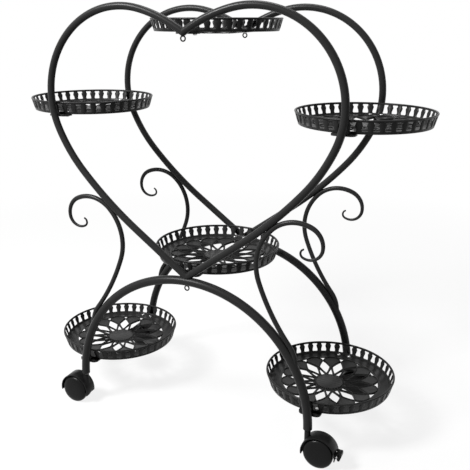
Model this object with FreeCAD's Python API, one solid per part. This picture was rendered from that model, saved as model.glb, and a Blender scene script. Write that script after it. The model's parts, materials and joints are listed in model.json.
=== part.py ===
import FreeCAD, Part
import math
import os

# Rolling plant stand: two heart frames of bent tube carry six pierced trays and stand on four casters.
# The origin is on the floor under the middle, with X to the right, Y to the back and Z up.
# Sizes are in millimetres and headings in degrees, where 0 points along X and 90 points up.

# Trays
tray_radius = 120.0
tray_flare = 7.0
tray_height = 23.5
tray_wall = 2.0
bead_radius = 1.7
border_width = 18.0
panel_step = 0.8
dish_depth = 5.0
panel_slope = 1.2
petals = 14
balusters = 40

# Pierced flower of a tray, as shares of the panel's radius
disc_share = 0.29
petal_inner_share = 0.37
petal_middle_share = 0.6
petal_outer_share = 0.816
petal_half_width_share = 0.1
petal_bulge_share = 0.008
wedge_base_share = 0.316
wedge_apex_share = 0.516
wedge_half_width_share = 0.04
corner_tip_share = 0.838
corner_rim_share = 0.938
corner_half_width_share = 0.115
corner_hollow_share = 0.016

# Gallery windows of a tray, as shares of the wall's height and of the spacing of the balusters
window_top_share = 0.84
window_neck_share = 0.64
window_foot_share = 0.2
window_top_width_share = 0.5
window_neck_width_share = 0.36
window_foot_width_share = 0.6

# Tubes and rods of the frames
arch_tube_radius = 8.0
heart_tube_radius = 6.5
tube_wall = 1.2
rod_radius = 4.4
rod_end_radius = 1.6
tray_gap = 0.3

# Arch with its two legs
leg_end = 64.0
leg_straight = 1.3
arch_radius = 234.0

# Heart, from the notch round the lobe to the tip
notch_heading = 34.3
shoulder_radius = 266.0
shoulder_heading = 14.4
lobe_radius = 155.4
lobe_heading = -114.4
flank_radius = 292.0
flank_heading = -132.2
point_radius = 750.0
point_heading = -143.8

# Scroll, from its foot inside the arch to the end of the curl
scroll_foot_radius = 60.0
scroll_foot_heading = 90.0
scroll_leave_heading = 127.25
scroll_rise_radius = 383.0
scroll_rise_heading = 109.0
scroll_waist_radius = 92.0
scroll_waist_heading = 45.0
scroll_crown_radius = 62.0
scroll_crown_heading = -25.0
curl_side_radius = 34.0
curl_side_heading = -98.0
curl_base_radius = 23.0
curl_base_heading = -208.0
curl_eye_radius = 8.0
curl_eye_heading = -345.0

# Hanging rings
ring_radius = 4.2
ring_wire_radius = 1.25
arch_ring_bite = 0.5
notch_ring_bite = 3.0

# Places of the trays that sit neither on the notch nor on the tip
upper_tray_x = 278.0
upper_tray_rim = 607.1
lower_tray_rim = 113.3

# Brackets, screws and nuts under the trays
bracket_width = 40.0
bracket_depth = 26.0
bracket_corner = 9.0
bracket_thickness = 3.0
bracket_bite = 1.5
screw_spacing = 20.4
screw_inset = 8.0
screw_radius = 2.0
screw_head_radius = 3.6
screw_head_height = 2.2
screw_tail = 0.5
hole_clearance = 0.25
thread_clearance = 0.05
nut_flats = 7.0
nut_height = 2.2

# Leg plugs and caster stems
plug_length = 22.0
plug_flange = 1.0
plug_round = 0.8
plug_clearance = 0.1
stem_radius = 3.5
stem_length = 42.0
collar_radius = 5.8
collar_height = 1.2
seat_clearance = 0.02
running_clearance = 0.05
face_clearance = 0.3

# Casters
wheel_radius = 27.0
wheel_outer_face = 16.0
wheel_tread = 3.5
wheel_web = 3.0
wheel_round = 3.0
wheel_dome = 1.6
wheel_hub_radius = 7.0
trail = 22.3
hood_radius = 31.2
hood_wall = 1.8
hood_half_width = 13.0
hood_drop = 5.5
hood_web = 10.0
neck_radius = 5.5
axle_radius = 3.0
axle_half_length = 11.0
axle_boss_radius = 8.0
wheel_side_clearance = 0.6

# Brake levers
brake_reach = 33.5
brake_rise = 3.0
brake_width = 14.0
brake_hub_radius = 4.0
brake_ear = 3.0
brake_pin_radius = 1.5
brake_nose_radius = 1.5
brake_nose_offset = 4.5
brake_nose_heading = 205.4
pedal_radius = 2.6
pedal_out = 4.8
pedal_up = 3.5
pedal_down = 6.3

# All cuts run past the faces by this much
overrun = 5.0

# Radii, levels and planes that follow from the sizes above
tray_bottom_radius = tray_radius - tray_flare
floor_radius = tray_bottom_radius - tray_wall
panel_radius = tray_bottom_radius - border_width
arch_centre_z = leg_end + leg_straight
arch_top = arch_centre_z + arch_radius + arch_tube_radius
frame_plane = tray_radius + tray_gap + arch_tube_radius
axle_z = wheel_radius
neck_top = leg_end - collar_height - face_clearance
hood_inner_radius = hood_radius - hood_wall
wheel_inner_face = hood_web / 2 + wheel_side_clearance

os.makedirs("parts", exist_ok=True)


def save(name, shape):
    """Write one node to its own file."""
    shape.exportStep(f"parts/{name}.step")


def vector(x, z, y=0):
    """Point of the frame's own plane, given by its place across and its height."""
    return FreeCAD.Vector(x, y, z)


def along(heading):
    """Unit step in the frame's plane along a heading."""
    return vector(math.cos(math.radians(heading)), math.sin(math.radians(heading)))


def left_of(heading):
    """Unit step in the frame's plane to the left of a heading."""
    return along(heading + 90)


def cylinder_y(radius, x, z, y_from, y_to):
    """Solid cylinder along Y between two depths."""
    return Part.makeCylinder(radius, y_to - y_from, vector(x, z, y_from), FreeCAD.Vector(0, 1, 0))


def block(x_from, x_to, y_from, y_to, z_from, z_to):
    """Solid box between three pairs of limits."""
    corner = FreeCAD.Vector(x_from, y_from, z_from)
    return Part.makeBox(x_to - x_from, y_to - y_from, z_to - z_from, corner)


def mirrored(shape):
    """The same shape on the other side of the stand's middle."""
    return shape.mirror(FreeCAD.Vector(0, 0, 0), FreeCAD.Vector(1, 0, 0))


def group(solids):
    """Several separate solids as one node."""
    return Part.makeCompound(solids)


def bend_centre(point, heading, radius, new_heading):
    """Centre of the arc that turns from one heading to another."""
    side = math.copysign(1, new_heading - heading)
    return point + left_of(heading) * side * radius


def bends(point, heading, turns):
    """Chain of tangent arcs: the edges and the end point."""
    edges = []
    for radius, new_heading in turns:
        side = math.copysign(1, new_heading - heading)
        centre = bend_centre(point, heading, radius, new_heading)
        middle = centre - left_of((heading + new_heading) / 2) * side * radius
        end = centre - left_of(new_heading) * side * radius
        edges.append(Part.Arc(point, middle, end).toShape())
        point = end
        heading = new_heading
    return edges, point


def straight(point, heading, length):
    """Straight edge from a point along a heading."""
    return Part.makeLine(point, point + along(heading) * length)


def ring_wire(point, heading, radius):
    """Circle square to a heading, as the profile of a sweep."""
    return Part.Wire(Part.makeCircle(radius, point, along(heading)))


def sweep(edges, profiles):
    """Solid swept along a chain of edges through one or more circles."""
    return Part.Wire(edges).makePipeShell(profiles, True, False)


# Arch: a leg, a half circle and a leg, in one bent tube

def arch_pipe(radius):
    """Solid bar along the arch's path."""
    foot = vector(-arch_radius, leg_end + plug_flange)
    spring = vector(-arch_radius, arch_centre_z)
    rise = spring.z - foot.z
    edges, far = bends(spring, 90, [(arch_radius, 0), (arch_radius, -90)])
    path = [Part.makeLine(foot, spring)] + edges + [straight(far, -90, rise)]
    return sweep(path, [ring_wire(foot, 90, radius)])


def arch_x(height):
    """Place across of the arch's centre line at a height."""
    return math.sqrt(arch_radius ** 2 - (height - arch_centre_z) ** 2)


# Heart: the right half, whose mirror image is the left half

heart_turns = [
    (shoulder_radius, shoulder_heading),
    (lobe_radius, lobe_heading),
    (flank_radius, flank_heading),
    (point_radius, point_heading),
]


def heart_drop():
    """Height from the notch down to the tip."""
    end = bends(vector(0, 0), notch_heading, heart_turns)[1]
    return end.x * math.tan(math.radians(point_heading)) - end.z


notch_z = arch_top + heart_drop()
notch = vector(0, notch_z)


def heart_pipe(radius):
    """Solid bar along the right half's path, cut off at the stand's middle."""
    edges, end = bends(notch, notch_heading, heart_turns)
    lead = 2 * heart_tube_radius
    start = notch - along(notch_heading) * lead
    tail = end.x / -math.cos(math.radians(point_heading)) + lead
    path = [Part.makeLine(start, notch)] + edges + [straight(end, point_heading, tail)]
    whole = sweep(path, [ring_wire(start, notch_heading, radius)])
    far_half = block(-arch_radius, 0, -frame_plane, frame_plane, 0, 2 * notch_z)
    return whole.cut(far_half)


def heart_x(height):
    """Place across of the heart's centre line on the lobe's lower side at a height."""
    lobe_start = bends(notch, notch_heading, heart_turns[:1])[1]
    centre = bend_centre(lobe_start, shoulder_heading, lobe_radius, lobe_heading)
    return centre.x + math.sqrt(lobe_radius ** 2 - (height - centre.z) ** 2)


def heart_half(arch_bar):
    """Right half of the heart: a tube mitred at the middle and shaped to the arch at the tip."""
    tube = heart_pipe(heart_tube_radius).cut(heart_pipe(heart_tube_radius - tube_wall))
    return tube.cut(arch_bar).Solids[0]


# Scroll: a rod that leaves the arch, touches the heart and curls into a thin eye

def scroll_rod(arch_bar, heart_bar):
    """Right scroll, shaped where it is welded to the arch and to the heart."""
    contact_radius = arch_radius + arch_tube_radius + rod_radius
    contact = vector(0, arch_centre_z) - left_of(scroll_leave_heading) * contact_radius
    foot_centre = contact + left_of(scroll_leave_heading) * scroll_foot_radius
    foot = foot_centre - left_of(scroll_foot_heading) * scroll_foot_radius
    body_turns = [
        (scroll_foot_radius, scroll_leave_heading),
        (scroll_rise_radius, scroll_rise_heading),
        (scroll_waist_radius, scroll_waist_heading),
        (scroll_crown_radius, scroll_crown_heading),
    ]
    curl_turns = [
        (curl_side_radius, curl_side_heading),
        (curl_base_radius, curl_base_heading),
        (curl_eye_radius, curl_eye_heading),
    ]
    body, crown = bends(foot, scroll_foot_heading, body_turns)
    curl, eye = bends(crown, scroll_crown_heading, curl_turns)
    rod = sweep(body, [ring_wire(foot, scroll_foot_heading, rod_radius)])
    thick = ring_wire(crown, scroll_crown_heading, rod_radius)
    thin = ring_wire(eye, curl_eye_heading, rod_end_radius)
    tip = Part.makeSphere(rod_end_radius, eye)
    whole = rod.fuse([sweep(curl, [thick, thin]), tip])
    coped = whole.cut(arch_bar).cut(heart_bar)
    return max(coped.Solids, key=lambda solid: solid.Volume)


def hanging_ring(height, welded_to):
    """Small wire ring whose top is welded under the tubes above it."""
    ring = Part.makeTorus(ring_radius, ring_wire_radius, vector(0, height), FreeCAD.Vector(0, 1, 0))
    for bar in welded_to:
        ring = ring.cut(bar)
    return max(ring.Solids, key=lambda solid: solid.Volume)


# Tray: a floor with a raised pierced panel, and a gallery of balusters with a rolled bead welded round it

def turned(shape, angle):
    """Copy of a shape turned about the tray's axis."""
    copy = shape.copy()
    copy.rotate(FreeCAD.Vector(0, 0, 0), FreeCAD.Vector(0, 0, 1), angle)
    return copy


def prism(edges):
    """Cutter that goes right through the tray's dished floor."""
    face = Part.Face(Part.Wire(edges))
    face.translate(FreeCAD.Vector(0, 0, -dish_depth - overrun))
    return face.extrude(FreeCAD.Vector(0, 0, dish_depth + panel_step + tray_wall + 2 * overrun))


def on_panel(across_share, out_share):
    """Point of the flower, given as shares of the panel's radius."""
    return FreeCAD.Vector(across_share * panel_radius, out_share * panel_radius, 0)


def curved_loop(corners, middles):
    """Closed outline of arcs, one between each pair of corners."""
    edges = []
    for index, middle in enumerate(middles):
        following = corners[(index + 1) % len(corners)]
        edges.append(Part.Arc(corners[index], middle, following).toShape())
    return edges


def petal_hole():
    """Kite-shaped hole of a petal, with gently bulging sides."""
    half = petal_half_width_share
    side = half / 2 + petal_bulge_share
    low = (petal_inner_share + petal_middle_share) / 2
    high = (petal_middle_share + petal_outer_share) / 2
    corners = [
        on_panel(0, petal_inner_share),
        on_panel(half, petal_middle_share),
        on_panel(0, petal_outer_share),
        on_panel(-half, petal_middle_share),
    ]
    middles = [on_panel(side, low), on_panel(side, high), on_panel(-side, high), on_panel(-side, low)]
    return prism(curved_loop(corners, middles))


def wedge_hole():
    """Narrow hole between two petals, on the edge of the middle disc."""
    half = wedge_half_width_share
    side = half / 2 + petal_bulge_share
    middle = (wedge_base_share + wedge_apex_share) / 2
    corners = [on_panel(-half, wedge_base_share), on_panel(half, wedge_base_share), on_panel(0, wedge_apex_share)]
    base_rise = wedge_base_share + petal_bulge_share
    middles = [on_panel(0, base_rise), on_panel(side, middle), on_panel(-side, middle)]
    return prism(curved_loop(corners, middles))


def corner_hole():
    """Small hole between two round petal ends and the border."""
    half = corner_half_width_share
    side = half / 2 - corner_hollow_share
    middle = (corner_tip_share + corner_rim_share) / 2 + corner_hollow_share / 2
    corners = [on_panel(0, corner_tip_share), on_panel(half, corner_rim_share), on_panel(-half, corner_rim_share)]
    rim = on_panel(0, math.hypot(half, corner_rim_share))
    middles = [on_panel(side, middle), rim, on_panel(-side, middle)]
    return prism(curved_loop(corners, middles))


def window():
    """Gap between two balusters: wide at the top, narrow at the neck and widest at the foot."""
    spacing = 2 * math.pi * tray_radius / balusters
    top = window_top_share * tray_height
    neck = window_neck_share * tray_height
    foot = window_foot_share * tray_height
    half_top = window_top_width_share * spacing / 2
    half_neck = window_neck_width_share * spacing / 2
    half_foot = window_foot_width_share * spacing / 2
    start = tray_bottom_radius - overrun
    corners = [
        vector(half_top, top, start),
        vector(half_neck, neck, start),
        vector(half_foot, foot, start),
        vector(-half_foot, foot, start),
        vector(-half_neck, neck, start),
        vector(-half_top, top, start),
    ]
    outline = Part.makePolygon(corners + corners[:1])
    through = tray_radius - tray_bottom_radius + 2 * overrun
    return Part.Face(outline).extrude(FreeCAD.Vector(0, through, 0))


def revolved(corners):
    """Solid made by turning an outline about the tray's axis."""
    profile = Part.Face(Part.makePolygon(corners + corners[:1]))
    return profile.revolve(FreeCAD.Vector(0, 0, 0), FreeCAD.Vector(0, 0, 1), 360)


def plain_floor():
    """Dished tray floor with its border on height 0, before its screw holes are drilled."""
    border_start = panel_radius + panel_slope
    disc_radius = disc_share * panel_radius
    disc_z = panel_step - dish_depth
    pressing = revolved([
        vector(0, disc_z),
        vector(disc_radius, disc_z),
        vector(panel_radius, panel_step),
        vector(border_start, 0),
        vector(floor_radius, 0),
        vector(floor_radius, tray_wall),
        vector(border_start, tray_wall),
        vector(panel_radius, panel_step + tray_wall),
        vector(disc_radius, disc_z + tray_wall),
        vector(0, disc_z + tray_wall),
    ])
    cutters = []
    petal_angle = 360 / petals
    for index in range(petals):
        cutters.append(turned(petal_hole(), index * petal_angle))
        cutters.append(turned(corner_hole(), index * petal_angle))
        cutters.append(turned(wedge_hole(), (index + 1 / 2) * petal_angle))
    return pressing.cut(cutters).Solids[0]


def tray_gallery():
    """Gallery about its own axis: a flared hoop with windows between its balusters and a bead on top."""
    bead_centre_radius = tray_radius - bead_radius
    bead_centre_z = tray_height - bead_radius
    wall_outer = bead_centre_radius + tray_wall / 2
    hoop = revolved([
        vector(floor_radius, 0),
        vector(tray_bottom_radius, 0),
        vector(wall_outer, bead_centre_z),
        vector(wall_outer - tray_wall, bead_centre_z),
        vector(floor_radius, tray_wall),
    ])
    bead = Part.makeTorus(bead_centre_radius, bead_radius, vector(0, bead_centre_z))
    window_angle = 360 / balusters
    cutters = [turned(window(), (index + 1 / 2) * window_angle) for index in range(balusters)]
    return hoop.fuse(bead).cut(cutters).Solids[0]


# Brackets, screws and nuts

bracket_outer_y = frame_plane - heart_tube_radius + bracket_bite
bracket_inner_y = bracket_outer_y - bracket_depth
screw_y = tray_bottom_radius - screw_inset


def screw_places(x):
    """The two screws of a bracket, across."""
    return [x - screw_spacing / 2, x + screw_spacing / 2]


def bracket(x, top, tubes):
    """Flat plate with round corners, drilled for two screws and shaped to the tubes that it is welded to."""
    half = bracket_width / 2
    plate = block(x - half, x + half, bracket_inner_y, bracket_outer_y, top - bracket_thickness, top)
    upright = [edge for edge in plate.Edges if abs(edge.tangentAt(edge.FirstParameter).z) > 1 / 2]
    plate = plate.makeFillet(bracket_corner, upright)
    for screw_x in screw_places(x):
        plate = plate.cut(screw_hole(screw_x, screw_y, top))
    for tube in tubes:
        plate = plate.cut(tube)
    return max(plate.Solids, key=lambda solid: solid.Volume)


def screw_hole(x, y, top):
    """Cutter for the hole of one screw in the tray and its bracket."""
    depth = bracket_thickness + tray_wall + 2 * overrun
    start = FreeCAD.Vector(x, y, top - bracket_thickness - overrun)
    return Part.makeCylinder(screw_radius + hole_clearance, depth, start)


def screw(x, y, top):
    """Button-head screw, whose head stands on the tray's border."""
    seat = top + tray_wall
    head = Part.makeCylinder(screw_head_radius, screw_head_height, FreeCAD.Vector(x, y, seat))
    crown = [edge for edge in head.Edges if edge.BoundBox.ZMin > seat]
    head = head.makeFillet(screw_head_height / 2, crown)
    length = tray_wall + bracket_thickness + nut_height + screw_tail
    shank = Part.makeCylinder(screw_radius, length, FreeCAD.Vector(x, y, seat - length))
    return head.fuse(shank).removeSplitter().Solids[0]


def nut(x, y, top):
    """Hexagon nut under the bracket."""
    corner_radius = nut_flats / math.sqrt(3)
    base = top - bracket_thickness - nut_height
    corners = []
    for index in range(6):
        angle = math.radians(60 * index)
        corners.append(FreeCAD.Vector(x + corner_radius * math.cos(angle), y + corner_radius * math.sin(angle), base))
    hexagon = Part.Face(Part.makePolygon(corners + corners[:1])).extrude(FreeCAD.Vector(0, 0, nut_height))
    bore = Part.makeCylinder(screw_radius + thread_clearance, nut_height, FreeCAD.Vector(x, y, base))
    return hexagon.cut(bore)


# Casters, drawn about the swivel axis with the wheels trailing along X

def leg_plug():
    """Plug in the leg's end, with a flange that covers the tube and a taper that follows the leg's bend."""
    sleeve_radius = arch_tube_radius - tube_wall - plug_clearance
    taper = plug_length ** 2 / (2 * arch_radius)
    sleeve = Part.makeCone(sleeve_radius, sleeve_radius - taper, plug_length, vector(0, leg_end))
    flange = Part.makeCylinder(arch_tube_radius, plug_flange, vector(0, leg_end))
    lower = [edge for edge in flange.Edges if edge.BoundBox.ZMax < leg_end + plug_flange / 2]
    flange = flange.makeFillet(plug_round, lower)
    bore_length = plug_length + 2 * overrun
    bore = Part.makeCylinder(stem_radius + seat_clearance, bore_length, vector(0, leg_end - overrun))
    return sleeve.fuse(flange).cut(bore).removeSplitter().Solids[0]


def caster_stem():
    """Steel pin with a collar under the plug."""
    top = leg_end + plug_length
    pin = Part.makeCylinder(stem_radius, stem_length, vector(0, top - stem_length))
    collar = Part.makeCylinder(collar_radius, collar_height, vector(0, leg_end - collar_height))
    return pin.fuse(collar).removeSplitter().Solids[0]


def wheel_room(y_from, y_to):
    """Space that a wheel sweeps, with the gap under the hood."""
    return cylinder_y(hood_inner_radius, trail, axle_z, y_from, y_to)


def caster_hood(braked):
    """Hood, a little more than half round, with its web, axle boss and neck in one moulding."""
    half = hood_half_width
    web_half = hood_web / 2
    drum = cylinder_y(hood_radius, trail, axle_z, -half, half)
    reach = 2 * hood_radius
    upper = block(trail - reach, trail + reach, -half, half, axle_z - hood_drop, axle_z + reach)
    boss = cylinder_y(axle_boss_radius, trail, axle_z, -web_half, web_half)
    neck_length = neck_top - axle_z
    neck = Part.makeCylinder(neck_radius, neck_length, vector(0, axle_z))
    hood = drum.common(upper).fuse([neck, boss])
    if braked:
        hood = hood.fuse(brake_ears()).cut(brake_slot())
    hood = hood.cut([wheel_room(web_half, 2 * half), wheel_room(-2 * half, -web_half)])
    stem_end = leg_end + plug_length - stem_length
    bore = Part.makeCylinder(stem_radius + running_clearance, neck_top, vector(0, stem_end - face_clearance))
    axle_bore = cylinder_y(axle_radius + seat_clearance, trail, axle_z, -half, half)
    return hood.cut([bore, axle_bore]).removeSplitter().Solids[0]


def caster_axle():
    """Steel axle, held in the web."""
    return cylinder_y(axle_radius, trail, axle_z, -axle_half_length, axle_half_length)


def caster_wheel():
    """Rear wheel of a pair: a cup with a hub, a domed face and a rounded tread."""
    inner = wheel_inner_face
    shoulder = wheel_outer_face - wheel_dome
    bore = axle_radius + running_clearance
    bore_end = axle_half_length + face_clearance
    cup_floor = wheel_outer_face - wheel_dome - wheel_web
    cup_radius = wheel_radius - wheel_tread
    dome_half = (wheel_radius - wheel_round) / 2
    round_share = 1 - math.sqrt(1 / 2)
    hub_corners = [
        vector(wheel_hub_radius, 0, cup_floor),
        vector(wheel_hub_radius, 0, inner),
        vector(bore, 0, inner),
        vector(bore, 0, bore_end),
        vector(0, 0, bore_end),
        vector(0, 0, wheel_outer_face),
    ]
    dome_end = vector(wheel_radius - wheel_round, 0, shoulder)
    dome_middle = vector(dome_half, 0, wheel_outer_face - wheel_dome / 4)
    tread_start = vector(wheel_radius, 0, shoulder - wheel_round)
    corner_middle = vector(wheel_radius - wheel_round * round_share, 0, shoulder - wheel_round * round_share)
    cup_corners = [
        tread_start,
        vector(wheel_radius, 0, inner),
        vector(cup_radius, 0, inner),
        vector(cup_radius, 0, cup_floor),
        hub_corners[0],
    ]
    dome = Part.Arc(hub_corners[-1], dome_middle, dome_end).toShape()
    corner = Part.Arc(dome_end, corner_middle, tread_start).toShape()
    edges = Part.makePolygon(hub_corners).Edges + [dome, corner] + Part.makePolygon(cup_corners).Edges
    wheel = Part.Face(Part.Wire(edges)).revolve(FreeCAD.Vector(0, 0, 0), FreeCAD.Vector(0, 1, 0), 360)
    wheel.translate(vector(trail, axle_z))
    return wheel


# Brake: a lever between two ears at the trailing end of the hood

brake_pivot = vector(trail + brake_reach, axle_z + brake_rise)


def bar_between(start, end, radius, half_width):
    """Bar with round ends from one point to another, as wide along Y as twice the half width."""
    half = FreeCAD.Vector(0, half_width, 0)
    side = (end - start).cross(FreeCAD.Vector(0, 1, 0)).normalize() * radius
    corners = [start + side - half, end + side - half, end - side - half, start - side - half]
    web = Part.Face(Part.makePolygon(corners + corners[:1])).extrude(half * 2)
    first = cylinder_y(radius, start.x, start.z, -half_width, half_width)
    last = cylinder_y(radius, end.x, end.z, -half_width, half_width)
    return web.fuse([first, last])


def brake_ears():
    """Two ears that hold the pin, joined to the hood's outside."""
    inner = brake_width / 2 + face_clearance
    root = vector(trail + hood_inner_radius, axle_z + brake_rise)
    ears = bar_between(root, brake_pivot, brake_hub_radius - face_clearance, inner + brake_ear)
    floor = block(trail, 2 * brake_pivot.x, -hood_half_width, hood_half_width, 0, axle_z)
    hole = cylinder_y(brake_pin_radius + seat_clearance, brake_pivot.x, brake_pivot.z, -wheel_radius, wheel_radius)
    return ears.cut([floor, hole])


def brake_slot():
    """Room for the lever through the hood's trailing end."""
    half = brake_width / 2 + face_clearance
    top = brake_pivot.z + brake_hub_radius + face_clearance
    return block(trail + axle_boss_radius + brake_hub_radius, 2 * brake_pivot.x, -half, half, 0, top)


def brake_lever():
    """Lever with a pedal outside and a nose that comes close to both wheels."""
    half = brake_width / 2
    hub = cylinder_y(brake_hub_radius, brake_pivot.x, brake_pivot.z, -half, half)
    nose_centre = brake_pivot + along(brake_nose_heading) * brake_nose_offset
    nose = cylinder_y(brake_nose_radius, nose_centre.x, nose_centre.z, -half, half)
    upper = brake_pivot + vector(pedal_out, pedal_up)
    middle = brake_pivot + vector(pedal_out, 0)
    lower = brake_pivot + vector(pedal_out / 2, -pedal_down)
    pedal = bar_between(upper, middle, pedal_radius, half).fuse(bar_between(middle, lower, pedal_radius, half))
    hole = cylinder_y(brake_pin_radius + running_clearance, brake_pivot.x, brake_pivot.z, -wheel_radius, wheel_radius)
    return hub.fuse([nose, pedal]).cut(hole).removeSplitter().Solids[0]


def brake_pin():
    """Pin of the lever, held in both ears."""
    half = brake_width / 2 + face_clearance + brake_ear
    return cylinder_y(brake_pin_radius, brake_pivot.x, brake_pivot.z, -half, half)


# Build the frames, one in front and one behind

arch_bar = arch_pipe(arch_tube_radius)
arch_tube = arch_bar.cut(arch_pipe(arch_tube_radius - tube_wall))
heart_bar = heart_pipe(heart_tube_radius)
heart_right = heart_half(arch_bar)
scroll_right = scroll_rod(arch_bar, heart_bar)
ring_drop = ring_radius + ring_wire_radius
notch_underside = notch_z - heart_tube_radius / math.cos(math.radians(notch_heading))
arch_underside = arch_top - 2 * arch_tube_radius
notch_ring = hanging_ring(notch_underside - ring_drop + notch_ring_bite, [heart_bar, mirrored(heart_bar)])
arch_ring = hanging_ring(arch_underside - ring_drop + arch_ring_bite, [arch_bar])

frame_pieces = {
    "arch_tube": arch_tube,
    "heart_right_tube": heart_right,
    "heart_left_tube": mirrored(heart_right),
    "right_scroll": scroll_right,
    "left_scroll": mirrored(scroll_right),
    "notch_ring": notch_ring,
    "arch_ring": arch_ring,
}
frame_ends = {"front": -1, "rear": 1}
for end_name, end_side in frame_ends.items():
    for piece_name, piece in frame_pieces.items():
        save(f"{end_name}_{piece_name}", piece.translated(FreeCAD.Vector(0, end_side * frame_plane, 0)))

# Build the trays with their brackets, screws and nuts

tray_tops = {
    "top_tray": (0, notch_z + tray_height),
    "upper_left_tray": (-upper_tray_x, upper_tray_rim),
    "upper_right_tray": (upper_tray_x, upper_tray_rim),
    "centre_tray": (0, arch_top + bracket_thickness + tray_height),
    "lower_left_tray": (-arch_radius, lower_tray_rim),
    "lower_right_tray": (arch_radius, lower_tray_rim),
}
upper_bracket_x = heart_x(upper_tray_rim - tray_height - bracket_thickness / 2)
lower_bracket_x = arch_x(lower_tray_rim - tray_height - bracket_thickness / 2)
bracket_places = {
    "top_tray": 0,
    "upper_left_tray": -upper_bracket_x,
    "upper_right_tray": upper_bracket_x,
    "centre_tray": 0,
    "lower_left_tray": -lower_bracket_x,
    "lower_right_tray": lower_bracket_x,
}
frame_bars = group([arch_bar, heart_bar, mirrored(heart_bar)]).translated(FreeCAD.Vector(0, frame_plane, 0))
rear_tubes = frame_bars.Solids
floor_blank = plain_floor()
gallery = tray_gallery()
rear_brackets = []
screws = []
nuts = []
for tray_name, (tray_x, tray_rim) in tray_tops.items():
    tray_bottom = tray_rim - tray_height
    bracket_x = bracket_places[tray_name]
    tray_place = FreeCAD.Vector(tray_x, 0, tray_bottom)
    holes = []
    for hole_x in screw_places(bracket_x):
        for hole_y in (-screw_y, screw_y):
            holes.append(screw_hole(hole_x, hole_y, tray_bottom))
            screws.append(screw(hole_x, hole_y, tray_bottom))
            nuts.append(nut(hole_x, hole_y, tray_bottom))
    save(f"{tray_name}_floor", floor_blank.translated(tray_place).cut(holes))
    save(f"{tray_name}_gallery", gallery.translated(tray_place))
    rear_brackets.append(bracket(bracket_x, tray_bottom, rear_tubes))
rear_group = group(rear_brackets)
save("rear_tray_brackets", rear_group)
save("front_tray_brackets", rear_group.mirror(FreeCAD.Vector(0, 0, 0), FreeCAD.Vector(0, 1, 0)))
save("tray_screws", group(screws))
save("tray_nuts", group(nuts))

# Build the casters, whose wheels trail away from the stand's middle

rear_wheel = caster_wheel()
front_wheel = rear_wheel.mirror(FreeCAD.Vector(0, 0, 0), FreeCAD.Vector(0, 1, 0))
plain_pieces = {
    "leg_plug": leg_plug(),
    "caster_stem": caster_stem(),
    "caster_hood": caster_hood(False),
    "caster_axle": caster_axle(),
    "caster_front_wheel": front_wheel,
    "caster_rear_wheel": rear_wheel,
}
braked_pieces = dict(plain_pieces)
braked_pieces["caster_hood"] = caster_hood(True)
braked_pieces["brake_lever"] = brake_lever()
braked_pieces["brake_pin"] = brake_pin()
caster_places = {
    "front_left": (-1, -1, plain_pieces),
    "front_right": (1, -1, braked_pieces),
    "rear_left": (-1, 1, braked_pieces),
    "rear_right": (1, 1, plain_pieces),
}
for corner_name, (x_side, y_side, pieces) in caster_places.items():
    place = FreeCAD.Vector(x_side * arch_radius, y_side * frame_plane, 0)
    for piece_name, piece in pieces.items():
        handed = piece if x_side > 0 else mirrored(piece)
        save(f"{corner_name}_{piece_name}", handed.translated(place))
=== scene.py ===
import json
import math

import bmesh
import bpy
from mathutils import Matrix, Vector


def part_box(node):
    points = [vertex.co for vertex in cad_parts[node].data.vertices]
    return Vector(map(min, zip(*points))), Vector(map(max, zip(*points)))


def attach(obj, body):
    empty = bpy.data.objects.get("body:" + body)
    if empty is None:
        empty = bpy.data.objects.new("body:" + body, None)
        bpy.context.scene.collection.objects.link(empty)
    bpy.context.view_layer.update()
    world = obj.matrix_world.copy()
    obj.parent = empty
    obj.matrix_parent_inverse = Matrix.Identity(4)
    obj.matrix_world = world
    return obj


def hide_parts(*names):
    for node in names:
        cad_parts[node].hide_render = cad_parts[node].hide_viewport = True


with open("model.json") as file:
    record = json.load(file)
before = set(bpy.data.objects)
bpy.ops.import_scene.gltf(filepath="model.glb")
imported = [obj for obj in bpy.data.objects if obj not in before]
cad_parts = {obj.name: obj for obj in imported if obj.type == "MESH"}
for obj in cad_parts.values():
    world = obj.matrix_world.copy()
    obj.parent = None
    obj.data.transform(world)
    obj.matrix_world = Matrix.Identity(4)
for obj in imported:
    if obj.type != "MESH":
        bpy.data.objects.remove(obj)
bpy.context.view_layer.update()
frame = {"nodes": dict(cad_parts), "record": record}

# Rolling plant stand: smooth tubes, the trays' relief, casters, finishes, light and camera.
# Lengths are in metres and headings in degrees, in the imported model's own frame.
# A turn of a bar is given by its bend's radius and the heading after it.

# Camera at the photograph's angle: pitch and turn in radians, sensor and lens in millimetres
camera_place = (0.548334, -1.139414, 0.756293)
camera_pitch = 0.245033
camera_turn = 0.431329
sensor_width = 36.0
camera_lens = 52.207
camera_shift = (0.01323, -0.0969)

# Floor and surroundings
floor_radius = 9.0
floor_sides = 96
near_floor = 0.8
far_floor = 1.8
floor_shade = 0.2
floor_lift = 0.85
even_light = 0.02

# Lamps, both aimed at the stand's middle
lamp_aim = (0, 0, 0.45)
key_place = (-1.05, -1.4, 1.9)
key_size = 0.6
key_power = 68.0
top_place = (-0.2, 0.5, 2.4)
top_size = 0.8
top_power = 14.0

# Grain of the finishes: sizes and details of its noises, and the shares of them that show
grain_detail = 2.0
cloud_scale = 14.0
cloud_detail = 3.0
cloud_range = (0.3, 0.7)
speck_scale = 1700.0
speck_detail = 1.0
speck_range = (0.55, 0.75)
bump_strength = 0.5

# Merging and shading of meshes
merge_distance = 1e-6
sharp_degrees = 35.0

# Round bars
bar_sides = 24
longest_step = 0.008
widest_step_degrees = 5.0

# Arch with its two legs
frame_plane = 0.1283
arch_tube_radius = 0.008
arch_radius = 0.234
leg_end = 0.065
arch_centre_z = 0.0653

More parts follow.
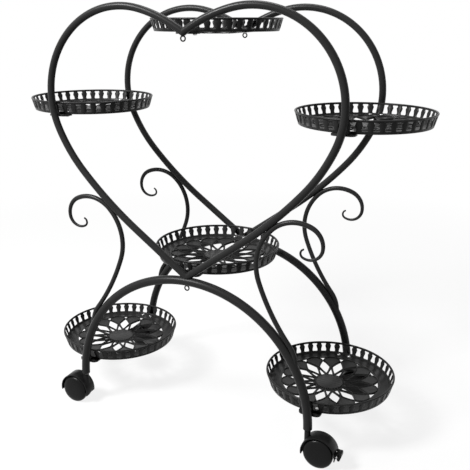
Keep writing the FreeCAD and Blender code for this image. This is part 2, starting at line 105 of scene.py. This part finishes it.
# Heart, from the notch round the lobe to the tip
heart_tube_radius = 0.0065
notch_z = 0.7354623
notch_heading = 34.3
heart_turns = [(0.266, 14.4), (0.1554, -114.4), (0.292, -132.2), (0.750, -143.8)]
heart_lead = 0.013
heart_tail = 0.2
seam_depth = 0.0004
seam_segments = 1

# Scroll, from its foot, sunk in the arch's tube, to the end of the curl
rod_radius = 0.0044
rod_end_radius = 0.0016
rod_end_round = 0.0013
rod_end_segments = 3
scroll_leave_heading = 127.25
scroll_foot_radius = 0.060
scroll_foot_heading = 90.0
scroll_turns = [
    (scroll_foot_radius, scroll_leave_heading),
    (0.383, 109.0),
    (0.092, 45.0),
    (0.062, -25.0),
]
curl_turns = [(0.034, -98.0), (0.023, -208.0), (0.008, -345.0)]

# Hanging rings
ring_radius = 0.0042
ring_wire_radius = 0.00125
ring_sides = 12
ring_steps = 48

# Tray floors
tray_names = [
    "top_tray",
    "upper_left_tray",
    "upper_right_tray",
    "centre_tray",
    "lower_left_tray",
    "lower_right_tray",
]
tray_wall = 0.002
panel_top = 0.0028
panel_radius = 0.095
disc_radius = 0.02755
dish_depth = 0.005
petals = 14
rib_width = 0.0022
rib_height = 0.0020
rib_sink = 0.0002
rib_sides = 8
rib_start = (-0.0050, 0.0265)
rib_end = (0.0162, 0.0766)
rib_bend_radius = 0.0628
rib_steps = 14
petal_end_out = 0.0743
petal_end_radius = 0.0166
petal_end_degrees = 75.0
rosette_radius = 0.0270
rosette_teeth = 40
tooth_corners = 4
rosette_tooth_share = 0.90
rosette_height = 0.0016
rosette_round = 0.0002

# Tray galleries, with the heights and half widths of a baluster
balusters = 40
gallery_steps = 160
gallery_bottom_radius = 0.113
gallery_floor_radius = 0.111
gallery_slope = 0.289
band_height = 0.0047
cornice_height = 0.0197
bead_centre_radius = 0.1183
bead_centre_z = 0.0218
bead_radius = 0.0017
bead_sides = 12
edge_round = 0.0003
baluster_sides = 12
baluster_depth = 0.0028
baluster_profile = [
    (0.0040, 0.0054),
    (0.0050, 0.0048),
    (0.0060, 0.0040),
    (0.0085, 0.0042),
    (0.0110, 0.0049),
    (0.0132, 0.0057),
    (0.0150, 0.0060),
    (0.0163, 0.0056),
    (0.0176, 0.0047),
    (0.0188, 0.0045),
    (0.0200, 0.0050),
]

# Caster wheels: radius and distance from the stem's plane, from the face's middle round to the bore
wheel_steps = 72
wheel_profile = [
    (0, 0.0160),
    (0.0060, 0.01595),
    (0.0110, 0.01580),
    (0.0155, 0.01550),
    (0.0190, 0.01505),
    (0.0216, 0.01445),
    (0.0237, 0.01360),
    (0.0252, 0.01255),
    (0.0262, 0.01135),
    (0.0268, 0.01005),
    (0.0270, 0.00880),
    (0.0270, 0.0064),
    (0.0268, 0.0058),
    (0.0264, 0.0056),
    (0.0235, 0.0056),
    (0.0235, 0.0114),
    (0.0070, 0.0114),
    (0.0070, 0.0056),
    (0.00305, 0.0056),
    (0.00305, 0.0113),
    (0, 0.0113),
]

# Rounding of moulded, pressed and turned edges
edge_segments = 2
flat_degrees = 0.5
roundings = {
    "caster_hood": 0.0005,
    "brake_lever": 0.0005,
    "leg_plug": 0.0002,
    "tray_brackets": 0.0004,
    "tray_screws": 0.0003,
    "tray_nuts": 0.0003,
}

UP = Vector((0, 0, 1))


# Shared effects

def new_group(name, inputs, outputs):
    """Shader node group with named inputs and outputs, and usual values for some of its inputs."""
    group = bpy.data.node_groups.new(name, "ShaderNodeTree")
    for socket_name, kind, usual in inputs:
        socket = group.interface.new_socket(socket_name, in_out="INPUT", socket_type=kind)
        if usual is not None:
            socket.default_value = usual
    for socket_name, kind in outputs:
        group.interface.new_socket(socket_name, in_out="OUTPUT", socket_type=kind)
    source = group.nodes.new("NodeGroupInput")
    sink = group.nodes.new("NodeGroupOutput")
    return group, source, sink


def noise(tree, vector, scale, detail):
    """Noise texture read at a vector, with its scale from a socket."""
    node = tree.nodes.new("ShaderNodeTexNoise")
    node.inputs["Detail"].default_value = detail
    tree.links.new(vector, node.inputs["Vector"])
    tree.links.new(scale, node.inputs["Scale"])
    return node.outputs["Fac"]


def spread(tree, value, low_from, high_from, low_to, high_to):
    """Value moved from one range to another."""
    node = tree.nodes.new("ShaderNodeMapRange")
    node.inputs["From Min"].default_value = low_from
    node.inputs["From Max"].default_value = high_from
    node.inputs["To Min"].default_value = low_to
    node.inputs["To Max"].default_value = high_to
    tree.links.new(value, node.inputs["Value"])
    return node.outputs["Result"]


def grain_group():
    """Fine grain of a coated or moulded skin: its height, its cloudy gloss and its specks."""
    inputs = [
        ("Vector", "NodeSocketVector", None),
        ("Grain Scale", "NodeSocketFloat", None),
        ("Cloud Scale", "NodeSocketFloat", cloud_scale),
        ("Speck Scale", "NodeSocketFloat", speck_scale),
    ]
    outputs = [
        ("Height", "NodeSocketFloat"),
        ("Cloud", "NodeSocketFloat"),
        ("Speck", "NodeSocketFloat"),
    ]
    group, source, sink = new_group("skin_grain", inputs, outputs)
    place = source.outputs["Vector"]
    height = noise(group, place, source.outputs["Grain Scale"], grain_detail)
    cloud = noise(group, place, source.outputs["Cloud Scale"], cloud_detail)
    speck = noise(group, place, source.outputs["Speck Scale"], speck_detail)
    group.links.new(height, sink.inputs["Height"])
    group.links.new(spread(group, cloud, *cloud_range, 0.0, 1.0), sink.inputs["Cloud"])
    group.links.new(spread(group, speck, *speck_range, 0.0, 1.0), sink.inputs["Speck"])
    return group


skin_grain = grain_group()


# Finishes

def skin_material(name, greys, roughness, grain_scale, bump_depth, specular, metallic=0.0):
    """Coated, moulded or plated skin whose grey, gloss and grain vary over the surface."""
    material = bpy.data.materials.new(name)
    material.use_nodes = True
    tree = material.node_tree
    shader = tree.nodes["Principled BSDF"]
    shader.inputs["Specular IOR Level"].default_value = specular
    shader.inputs["Metallic"].default_value = metallic
    place = tree.nodes.new("ShaderNodeTexCoord").outputs["Object"]
    grain = tree.nodes.new("ShaderNodeGroup")
    grain.node_tree = skin_grain
    grain.inputs["Grain Scale"].default_value = grain_scale
    tree.links.new(place, grain.inputs["Vector"])
    colour = tree.nodes.new("ShaderNodeMix")
    colour.data_type = "RGBA"
    for socket_name, grey in zip("AB", greys):
        colour.inputs[socket_name].default_value = (grey, grey, grey, 1)
    tree.links.new(grain.outputs["Speck"], colour.inputs["Factor"])
    tree.links.new(colour.outputs["Result"], shader.inputs["Base Color"])
    cloudy = spread(tree, grain.outputs["Cloud"], 0.0, 1.0, *roughness)
    tree.links.new(cloudy, shader.inputs["Roughness"])
    bump = tree.nodes.new("ShaderNodeBump")
    bump.inputs["Strength"].default_value = bump_strength
    bump.inputs["Distance"].default_value = bump_depth
    tree.links.new(grain.outputs["Height"], bump.inputs["Height"])
    tree.links.new(bump.outputs["Normal"], shader.inputs["Normal"])
    return material


finishes = {
    "black_coat": skin_material(
        "black_coat",
        greys=(0.022, 0.034),
        roughness=(0.28, 0.36),
        grain_scale=900.0,
        bump_depth=0.00006,
        specular=0.13,
    ),
    "black_plastic": skin_material(
        "black_plastic",
        greys=(0.012, 0.018),
        roughness=(0.28, 0.36),
        grain_scale=1500.0,
        bump_depth=0.0001,
        specular=0.12,
    ),
    "caster_wheel": skin_material(
        "wheel_plastic",
        greys=(0.006, 0.010),
        roughness=(0.24, 0.32),
        grain_scale=1500.0,
        bump_depth=0.00005,
        specular=0.13,
    ),
    "plated_steel": skin_material(
        "plated_steel",
        greys=(0.55, 0.65),
        roughness=(0.25, 0.38),
        grain_scale=1200.0,
        bump_depth=0.00005,
        specular=0.5,
        metallic=1.0,
    ),
}


# Pieces and the nodes that they stand for

slot_of = {row["node"]: row["material_slot"] for row in frame["record"]["subparts"]}
body_of = {}
for body_name, members in frame["record"]["behaviour"]["bodies"].items():
    for member in members:
        body_of[member] = body_name
dressed = set()


def dress(mesh, name, node_name):
    """Finished piece that stands for a node, with the node's finish, on the node's body."""
    mesh.shade_smooth()
    mesh.set_sharp_from_angle(angle=math.radians(sharp_degrees))
    slot_name = slot_of[node_name]
    mesh.materials.clear()
    mesh.materials.append(finishes[slot_name])
    piece = bpy.data.objects.new(name, mesh)
    bpy.context.scene.collection.objects.link(piece)
    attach(piece, body_of[node_name])
    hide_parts(node_name)
    dressed.add(node_name)


def mesh_of(shape, name):
    """Mesh of a finished shape."""
    mesh = bpy.data.meshes.new(name)
    shape.to_mesh(mesh)
    shape.free()
    return mesh


def moved_copy(mesh, name, place):
    """Copy of a mesh at another place."""
    copy = mesh.copy()
    copy.name = name
    copy.transform(Matrix.Translation(place))
    return copy


def merged_copy(node_name):
    """Shape of a node with its loose triangles joined."""
    shape = bmesh.new()
    shape.from_mesh(frame["nodes"][node_name].data)
    bmesh.ops.remove_doubles(shape, verts=shape.verts, dist=merge_distance)
    return shape


def only(kind, geometry):
    """The members of one kind among vertices, edges and faces."""
    return [member for member in geometry if isinstance(member, kind)]


def rounded(shape, edges, width, segments):
    """Edges rounded off by a bevel."""
    bmesh.ops.bevel(
        shape,
        geom=edges,
        offset=width,
        segments=segments,
        profile=0.5,
        affect="EDGES",
        material=-1,
        clamp_overlap=True,
    )


# Round bars: the arches, hearts, scrolls and rings

def along(heading):
    """Unit step in the frame's plane along a heading."""
    return Vector((math.cos(math.radians(heading)), 0, math.sin(math.radians(heading))))


def left_of(heading):
    """Unit step in the frame's plane to the left of a heading."""
    return along(heading + 90)


def ring_edges(verts):
    """The edges of a new ring of vertices."""
    return list({edge for vert in verts for edge in vert.link_edges})


def bar_start(shape, point, heading, radius):
    """First section of a bar, closed by a disc: its ring."""
    square = along(heading).to_track_quat("Z", "Y").to_matrix().to_4x4()
    place = Matrix.Translation(point) @ square
    made = bmesh.ops.create_circle(
        shape,
        cap_ends=True,
        segments=bar_sides,
        radius=radius,
        matrix=place,
    )
    return ring_edges(made["verts"])


def bar_straight(shape, ring, step):
    """Straight run of a bar from its last ring."""
    made = bmesh.ops.extrude_edge_only(shape, edges=ring)["geom"]
    verts = set(only(bmesh.types.BMVert, made))
    bmesh.ops.translate(shape, verts=list(verts), vec=step)
    return [edge for edge in only(bmesh.types.BMEdge, made) if verts.issuperset(edge.verts)]


def bar_bend(shape, ring, point, heading, bend_radius, new_heading, radius_from, radius_to):
    """Bend of a bar from its last ring, whose section may taper: the new ring and its centre."""
    side = math.copysign(1, new_heading - heading)
    centre = point + left_of(heading) * side * bend_radius
    turn = math.radians(new_heading - heading)
    by_length = abs(turn) * bend_radius / longest_step
    by_angle = abs(new_heading - heading) / widest_step_degrees
    steps = math.ceil(max(by_length, by_angle))
    radius = radius_from
    for step in range(steps):
        made = bmesh.ops.spin(
            shape,
            geom=ring,
            cent=centre,
            axis=(0, -1, 0),
            angle=turn / steps,
            steps=1,
        )
        ring = only(bmesh.types.BMEdge, made["geom_last"])
        step_heading = heading + (new_heading - heading) * (step + 1) / steps
        point = centre - left_of(step_heading) * side * bend_radius
        following = radius_from + (radius_to - radius_from) * (step + 1) / steps
        if radius_to != radius_from:
            verts = list({vert for edge in ring for vert in edge.verts})
            share = following / radius
            about_point = Matrix.Translation(-point)
            bmesh.ops.scale(shape, vec=(share, share, share), space=about_point, verts=verts)
        radius = following
    return ring, point


def bent_bar(point, heading, lead, turns, tail, radius):
    """Closed bar of tangent bends between two straight ends."""
    shape = bmesh.new()
    ring = bar_start(shape, point, heading, radius)
    ring = bar_straight(shape, ring, along(heading) * lead)
    point = point + along(heading) * lead
    for bend_radius, new_heading in turns:
        ring, point = bar_bend(
            shape, ring, point, heading, bend_radius, new_heading, radius, radius
        )
        heading = new_heading
    ring = bar_straight(shape, ring, along(heading) * tail)
    bmesh.ops.contextual_create(shape, geom=ring)
    bmesh.ops.recalc_face_normals(shape, faces=shape.faces)
    return shape


def arch_bar():
    """Arch with its two legs."""
    foot = Vector((-arch_radius, 0, leg_end))
    rise = arch_centre_z - leg_end
    return bent_bar(foot, 90, rise, [(arch_radius, 0), (arch_radius, -90)], rise, arch_tube_radius)


def heart_bar():
    """Right half of the heart, mitred in the stand's middle."""
    start = Vector((0, 0, notch_z)) - along(notch_heading) * heart_lead
    shape = bent_bar(start, notch_heading, heart_lead, heart_turns, heart_tail, heart_tube_radius)
    cut = bmesh.ops.bisect_plane(
        shape,
        geom=shape.verts[:] + shape.edges[:] + shape.faces[:],
        plane_co=(0, 0, 0),
        plane_no=(-1, 0, 0),
        clear_outer=True,
    )
    seam = only(bmesh.types.BMEdge, cut["geom_cut"])
    bmesh.ops.holes_fill(shape, edges=seam, sides=0)
    rounded(shape, seam, seam_depth, seam_segments)
    bmesh.ops.recalc_face_normals(shape, faces=shape.faces)
    return shape


def scroll_bar():
    """Right scroll: a rod that leaves the arch, touches the heart and curls into a thin eye."""
    contact_radius = arch_radius + arch_tube_radius + rod_radius
    contact = Vector((0, 0, arch_centre_z)) - left_of(scroll_leave_heading) * contact_radius
    foot_centre = contact + left_of(scroll_leave_heading) * scroll_foot_radius
    point = foot_centre - left_of(scroll_foot_heading) * scroll_foot_radius
    heading = scroll_foot_heading
    shape = bmesh.new()
    ring = bar_start(shape, point, heading, rod_radius)
    radius = rod_radius
    for bend_radius, new_heading in scroll_turns:
        ring, point = bar_bend(
            shape, ring, point, heading, bend_radius, new_heading, radius, radius
        )
        heading = new_heading
    lengths = []
    before = heading
    for bend_radius, after in curl_turns:
        lengths.append(bend_radius * abs(after - before))
        before = after
    for (bend_radius, new_heading), length in zip(curl_turns, lengths):
        following = radius - (rod_radius - rod_end_radius) * length / sum(lengths)
        ring, point = bar_bend(
            shape, ring, point, heading, bend_radius, new_heading, radius, following
        )
        heading = new_heading
        radius = following
    bmesh.ops.contextual_create(shape, geom=ring)
    rounded(shape, ring, rod_end_round, rod_end_segments)
    bmesh.ops.recalc_face_normals(shape, faces=shape.faces)
    return shape


def mirrored(mesh, name):
    """The same mesh on the other side of the stand's middle."""
    shape = bmesh.new()
    shape.from_mesh(mesh)
    bmesh.ops.scale(shape, vec=(-1, 1, 1), verts=shape.verts)
    bmesh.ops.recalc_face_normals(shape, faces=shape.faces)
    return mesh_of(shape, name)


def hanging_ring():
    """Small wire ring about the origin, in the frame's plane."""
    shape = bmesh.new()
    place = Matrix.Translation((ring_radius, 0, 0))
    made = bmesh.ops.create_circle(
        shape,
        segments=ring_sides,
        radius=ring_wire_radius,
        matrix=place,
    )
    bmesh.ops.spin(
        shape,
        geom=made["verts"] + ring_edges(made["verts"]),
        cent=(0, 0, 0),
        axis=(0, 1, 0),
        angle=2 * math.pi,
        steps=ring_steps,
        use_merge=True,
    )
    bmesh.ops.recalc_face_normals(shape, faces=shape.faces)
    return shape


def make_frames():
    """Both frames with all their bars and rings."""
    heart_right = mesh_of(heart_bar(), "heart_right")
    scroll_right = mesh_of(scroll_bar(), "scroll_right")
    bars = {
        "arch_tube": mesh_of(arch_bar(), "arch"),
        "heart_right_tube": heart_right,
        "heart_left_tube": mirrored(heart_right, "heart_left"),
        "right_scroll": scroll_right,
        "left_scroll": mirrored(scroll_right, "scroll_left"),
    }
    ring = mesh_of(hanging_ring(), "ring")
    for end_name, end_side in (("front", -1), ("rear", 1)):
        plane = Vector((0, end_side * frame_plane, 0))
        for bar_name, bar in bars.items():
            name = f"{end_name}_{bar_name}_coated"
            dress(moved_copy(bar, name, plane), name, f"{end_name}_{bar_name}")
        for ring_name in ("notch_ring", "arch_ring"):
            node_name = f"{end_name}_{ring_name}"
            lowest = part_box(node_name)[0].z
            place = plane + UP * (lowest + ring_radius + ring_wire_radius)
            name = f"{node_name}_coated"
            dress(moved_copy(ring, name, place), name, node_name)


# Tray floors: ribs round the petals and a toothed rosette on the pierced panel

def turned_copies(shape, geometry, count):
    """Geometry repeated round the tray's axis."""
    bmesh.ops.spin(
        shape,
        geom=geometry,
        cent=(0, 0, 0),
        axis=UP,
        angle=2 * math.pi * (count - 1) / count,
        steps=count - 1,
        use_duplicate=True,
    )


def arc_rib(shape, centre, start, turn):
    """Half-buried round rib along an arc on the panel."""
    out = (start - centre).normalized()
    ahead = UP.cross(out)
    section = Matrix((out, UP, ahead)).transposed().to_4x4()
    flat = Matrix.Diagonal((1, 2 * rib_height / rib_width, 1, 1))
    place = Matrix.Translation(start - UP * rib_sink) @ section @ flat
    made = bmesh.ops.create_circle(
        shape,
        cap_ends=True,
        segments=rib_sides,
        radius=rib_width / 2,
        matrix=place,
    )
    ring = ring_edges(made["verts"])
    swept = bmesh.ops.spin(shape, geom=ring, cent=centre, axis=UP, angle=turn, steps=rib_steps)
    bmesh.ops.contextual_create(shape, geom=only(bmesh.types.BMEdge, swept["geom_last"]))


def flower_relief():
    """Ribs and rosette of one dished floor, about the tray's axis, from the border's level."""
    shape = bmesh.new()
    for side in (1, -1):
        start = Vector((side * rib_start[0], rib_start[1], 0))
        end = Vector((side * rib_end[0], rib_end[1], 0))
        chord = end - start
        across = UP.cross(chord).normalized() * -side
        depth = math.sqrt(rib_bend_radius ** 2 - (chord.length / 2) ** 2)
        centre = (start + end) / 2 + across * depth
        turn = -side * 2 * math.asin(chord.length / 2 / rib_bend_radius)
        arc_rib(shape, centre, start, turn)
    centre = Vector((0, petal_end_out, 0))
    half_end = math.radians(petal_end_degrees)
    start = centre + Matrix.Rotation(-half_end, 3, "Z") @ Vector((0, petal_end_radius, 0))
    arc_rib(shape, centre, start, 2 * half_end)
    slope = math.atan(dish_depth / (panel_radius - disc_radius))
    brim = (0, panel_radius, 0)
    bmesh.ops.rotate(shape, cent=brim, matrix=Matrix.Rotation(slope, 3, "X"), verts=shape.verts)
    half_turn = Matrix.Rotation(math.pi / petals, 3, "Z")
    bmesh.ops.rotate(shape, cent=(0, 0, 0), matrix=half_turn, verts=shape.verts)
    turned_copies(shape, shape.verts[:] + shape.edges[:] + shape.faces[:], petals)
    made = bmesh.ops.create_circle(
        shape,
        cap_ends=True,
        segments=tooth_corners * rosette_teeth,
        radius=rosette_radius,
    )
    hollows = [
        vert
        for index, vert in enumerate(made["verts"])
        if index % tooth_corners >= tooth_corners / 2
    ]
    bmesh.ops.scale(shape, vec=(rosette_tooth_share, rosette_tooth_share, 1), verts=hollows)
    disc = list({face for vert in made["verts"] for face in vert.link_faces})
    bmesh.ops.translate(shape, vec=-UP * (dish_depth + rib_sink), verts=made["verts"])
    raised = bmesh.ops.extrude_face_region(shape, geom=disc, use_keep_orig=True)["geom"]
    rise = UP * (rosette_height + rib_sink)
    bmesh.ops.translate(shape, vec=rise, verts=only(bmesh.types.BMVert, raised))
    top = only(bmesh.types.BMFace, raised)
    top_edges = list({edge for face in top for edge in face.edges})
    rounded(shape, top_edges, rosette_round, edge_segments)
    bmesh.ops.recalc_face_normals(shape, faces=shape.faces)
    return mesh_of(shape, "flower_relief")


# Tray galleries: a foot band, turned balusters and a rolled bead

def wall_radius(height):
    """Middle of the flared wall at a height."""
    return gallery_bottom_radius + gallery_slope * height - tray_wall / 2


def revolve(shape, edges):
    """Closed band made by turning a closed chain of edges about the tray's axis."""
    verts = list({vert for edge in edges for vert in edge.verts})
    bmesh.ops.spin(
        shape,
        geom=verts + edges,
        cent=(0, 0, 0),
        axis=UP,
        angle=2 * math.pi,
        steps=gallery_steps,
        use_merge=True,
    )


def closed_chain(shape, points):
    """Closed chain of edges through a few points."""
    verts = [shape.verts.new(point) for point in points]
    return [shape.edges.new(pair) for pair in zip(verts, verts[1:] + verts[:1])]


def band(corners):
    """Band of the gallery with lightly rounded edges, given by its section's corners."""
    shape = bmesh.new()
    revolve(shape, closed_chain(shape, [(0, radius, height) for radius, height in corners]))
    bmesh.ops.recalc_face_normals(shape, faces=shape.faces)
    sharp = [edge for edge in shape.edges if edge.calc_face_angle(0) > math.radians(sharp_degrees)]
    rounded(shape, sharp, edge_round, edge_segments)
    return mesh_of(shape, "band")


def baluster_ring():
    """All balusters of one tray, about the tray's axis."""
    shape = bmesh.new()
    height, half_width = baluster_profile[0]
    centre = Vector((0, wall_radius(height), height))
    made = bmesh.ops.create_circle(shape, cap_ends=True, segments=baluster_sides, radius=1)
    bmesh.ops.scale(shape, vec=(half_width, baluster_depth / 2, 1), verts=made["verts"])
    bmesh.ops.translate(shape, vec=centre, verts=made["verts"])
    ring = ring_edges(made["verts"])
    for next_height, next_half_width in baluster_profile[1:]:
        next_centre = Vector((0, wall_radius(next_height), next_height))
        ring = bar_straight(shape, ring, next_centre - centre)
        verts = list({vert for edge in ring for vert in edge.verts})
        bmesh.ops.scale(shape, vec=(next_half_width / half_width, 1, 1), verts=verts)
        centre = next_centre
        half_width = next_half_width
    bmesh.ops.contextual_create(shape, geom=ring)
    turned_copies(shape, shape.verts[:] + shape.edges[:] + shape.faces[:], balusters)
    bmesh.ops.recalc_face_normals(shape, faces=shape.faces)
    return mesh_of(shape, "baluster_ring")


def bead_ring():
    """Rolled bead on top of the gallery."""
    shape = bmesh.new()
    upright = Matrix.Rotation(math.pi / 2, 4, "Y")
    place = Matrix.Translation((0, bead_centre_radius, bead_centre_z)) @ upright
    made = bmesh.ops.create_circle(shape, segments=bead_sides, radius=bead_radius, matrix=place)
    revolve(shape, ring_edges(made["verts"]))
    bmesh.ops.recalc_face_normals(shape, faces=shape.faces)
    return mesh_of(shape, "bead_ring")


def gallery_mesh():
    """Whole gallery of one tray, about the tray's axis, standing on height 0."""
    half = tray_wall / 2
    foot = band([
        (gallery_floor_radius, 0),
        (gallery_bottom_radius, 0),
        (wall_radius(band_height) + half, band_height),
        (wall_radius(band_height) - half, band_height),
        (gallery_floor_radius, tray_wall),
    ])
    cornice = band([
        (wall_radius(cornice_height) - half, cornice_height),
        (wall_radius(cornice_height) + half, cornice_height),
        (wall_radius(bead_centre_z) + half, bead_centre_z),
        (wall_radius(bead_centre_z) - half, bead_centre_z),
    ])
    shape = bmesh.new()
    for part in (foot, cornice, baluster_ring(), bead_ring()):
        shape.from_mesh(part)
    return mesh_of(shape, "gallery")


def make_trays():
    """Floors and galleries of all trays."""
    relief = flower_relief()
    gallery = gallery_mesh()
    for tray_name in tray_names:
        low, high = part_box(f"{tray_name}_gallery")
        place = Vector(((low.x + high.x) / 2, 0, low.z))
        shape = merged_copy(f"{tray_name}_floor")
        panel_verts = set(shape.verts)
        shape.from_mesh(relief)
        relief_verts = [vert for vert in shape.verts if vert not in panel_verts]
        bmesh.ops.translate(shape, vec=place + UP * panel_top, verts=relief_verts)
        name = f"{tray_name}_floor_pressed"
        dress(mesh_of(shape, name), name, f"{tray_name}_floor")
        name = f"{tray_name}_gallery_coated"
        dress(moved_copy(gallery, name, place), name, f"{tray_name}_gallery")


# Casters, brackets and fasteners

def wheel_mesh(side):
    """Wheel about the origin, with its face to the front or to the rear."""
    shape = bmesh.new()
    verts = [shape.verts.new((radius, side * reach, 0)) for radius, reach in wheel_profile]
    edges = [shape.edges.new(pair) for pair in zip(verts, verts[1:])]
    bmesh.ops.spin(
        shape,
        geom=verts + edges,
        cent=(0, 0, 0),
        axis=(0, 1, 0),
        angle=2 * math.pi,
        steps=wheel_steps,
        use_merge=True,
    )
    bmesh.ops.remove_doubles(shape, verts=shape.verts, dist=merge_distance)
    bmesh.ops.recalc_face_normals(shape, faces=shape.faces)
    return mesh_of(shape, "wheel")


def make_wheels():
    """Both wheels of every caster."""
    for wheel_name, wheel_side in (("caster_front_wheel", -1), ("caster_rear_wheel", 1)):
        wheel = wheel_mesh(wheel_side)
        for node_name in frame["nodes"]:
            if node_name.endswith(wheel_name):
                low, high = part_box(node_name)
                plane = math.copysign(frame_plane, low.y)
                place = Vector(((low.x + high.x) / 2, plane, (low.z + high.z) / 2))
                name = f"{node_name}_turned"
                dress(moved_copy(wheel, name, place), name, node_name)


def eased_copy(node_name, width):
    """Shape of a node with its sharp edges rounded."""
    shape = merged_copy(node_name)
    bmesh.ops.dissolve_limit(
        shape,
        angle_limit=math.radians(flat_degrees),
        verts=shape.verts,
        edges=shape.edges,
    )
    sharp = [edge for edge in shape.edges if edge.calc_face_angle(0) > math.radians(sharp_degrees)]
    rounded(shape, sharp, width, edge_segments)
    bmesh.ops.recalc_face_normals(shape, faces=shape.faces)
    return shape


def make_fittings():
    """Hoods, levers, plugs, brackets and fasteners with eased edges, the rest as it was built."""
    for node_name in frame["nodes"]:
        if node_name in dressed:
            continue
        widths = [width for ending, width in roundings.items() if node_name.endswith(ending)]
        shape = eased_copy(node_name, widths[0]) if widths else merged_copy(node_name)
        name = f"{node_name}_finished"
        dress(mesh_of(shape, name), name, node_name)


make_frames()
make_trays()
make_wheels()
make_fittings()


# Floor, light and camera

def background_rays(tree):
    """Factor that is 1 for rays that see the background: direct, in gloss or through glass."""
    rays = tree.nodes.new("ShaderNodeLightPath")
    total = rays.outputs["Is Camera Ray"]
    for kind in ("Is Glossy Ray", "Is Transmission Ray"):
        either = tree.nodes.new("ShaderNodeMath")
        either.operation = "MAXIMUM"
        tree.links.new(total, either.inputs[0])
        tree.links.new(rays.outputs[kind], either.inputs[1])
        total = either.outputs["Value"]
    return total


def floor_material():
    """Pale floor that keeps the shadow near the stand and turns white further out."""
    material = bpy.data.materials.new("pale_floor")
    material.use_nodes = True
    tree = material.node_tree
    tree.nodes.remove(tree.nodes["Principled BSDF"])
    output = tree.nodes["Material Output"]
    place = tree.nodes.new("ShaderNodeTexCoord").outputs["Object"]
    length = tree.nodes.new("ShaderNodeVectorMath")
    length.operation = "LENGTH"
    tree.links.new(place, length.inputs[0])
    distance = length.outputs["Value"]
    matt = tree.nodes.new("ShaderNodeBsdfDiffuse")
    shade = spread(tree, distance, near_floor, far_floor, floor_shade, 0.0)
    tree.links.new(shade, matt.inputs["Color"])
    glow = tree.nodes.new("ShaderNodeEmission")
    lift = tree.nodes.new("ShaderNodeMath")
    lift.operation = "MULTIPLY"
    tree.links.new(background_rays(tree), lift.inputs[0])
    whiteness = spread(tree, distance, near_floor, far_floor, floor_lift, 1.0)
    tree.links.new(whiteness, lift.inputs[1])
    tree.links.new(lift.outputs["Value"], glow.inputs["Strength"])
    both = tree.nodes.new("ShaderNodeAddShader")
    tree.links.new(matt.outputs["BSDF"], both.inputs[0])
    tree.links.new(glow.outputs["Emission"], both.inputs[1])
    tree.links.new(both.outputs["Shader"], output.inputs["Surface"])
    return material


def make_floor():
    """Round floor under the stand."""
    shape = bmesh.new()
    bmesh.ops.create_circle(shape, cap_ends=True, segments=floor_sides, radius=floor_radius)
    mesh = mesh_of(shape, "floor")
    mesh.materials.append(floor_material())
    floor = bpy.data.objects.new("floor", mesh)
    bpy.context.scene.collection.objects.link(floor)


def make_world():
    """White surroundings for rays that see the background, and a low even light for the rest."""
    world = bpy.data.worlds.new("studio")
    world.use_nodes = True
    tree = world.node_tree
    background = tree.nodes["Background"]
    background.inputs["Color"].default_value = (1, 1, 1, 1)
    strength = spread(tree, background_rays(tree), 0.0, 1.0, even_light, 1.0)
    tree.links.new(strength, background.inputs["Strength"])
    bpy.context.scene.world = world


def softbox(name, place, size, power):
    """Square area lamp that points at the stand's middle and isn't seen itself."""
    lamp = bpy.data.lights.new(name, "AREA")
    lamp.size = size
    lamp.energy = power
    holder = bpy.data.objects.new(name, lamp)
    bpy.context.scene.collection.objects.link(holder)
    holder.location = place
    holder.rotation_mode = "QUATERNION"
    holder.rotation_quaternion = (Vector(lamp_aim) - Vector(place)).to_track_quat("-Z", "Y")
    holder.visible_camera = False


def make_camera():
    """Camera with the photograph's angle and framing."""
    lens = bpy.data.cameras.new("camera")
    lens.sensor_width = sensor_width
    lens.lens = camera_lens
    lens.shift_x, lens.shift_y = camera_shift
    camera = bpy.data.objects.new("camera", lens)
    bpy.context.scene.collection.objects.link(camera)
    camera.location = camera_place
    camera.rotation_euler = (math.pi / 2 - camera_pitch, 0, camera_turn)
    bpy.context.scene.camera = camera


make_floor()
make_world()
softbox("key", key_place, key_size, key_power)
softbox("top", top_place, top_size, top_power)
make_camera()
bpy.context.scene.view_settings.view_transform = "Standard"
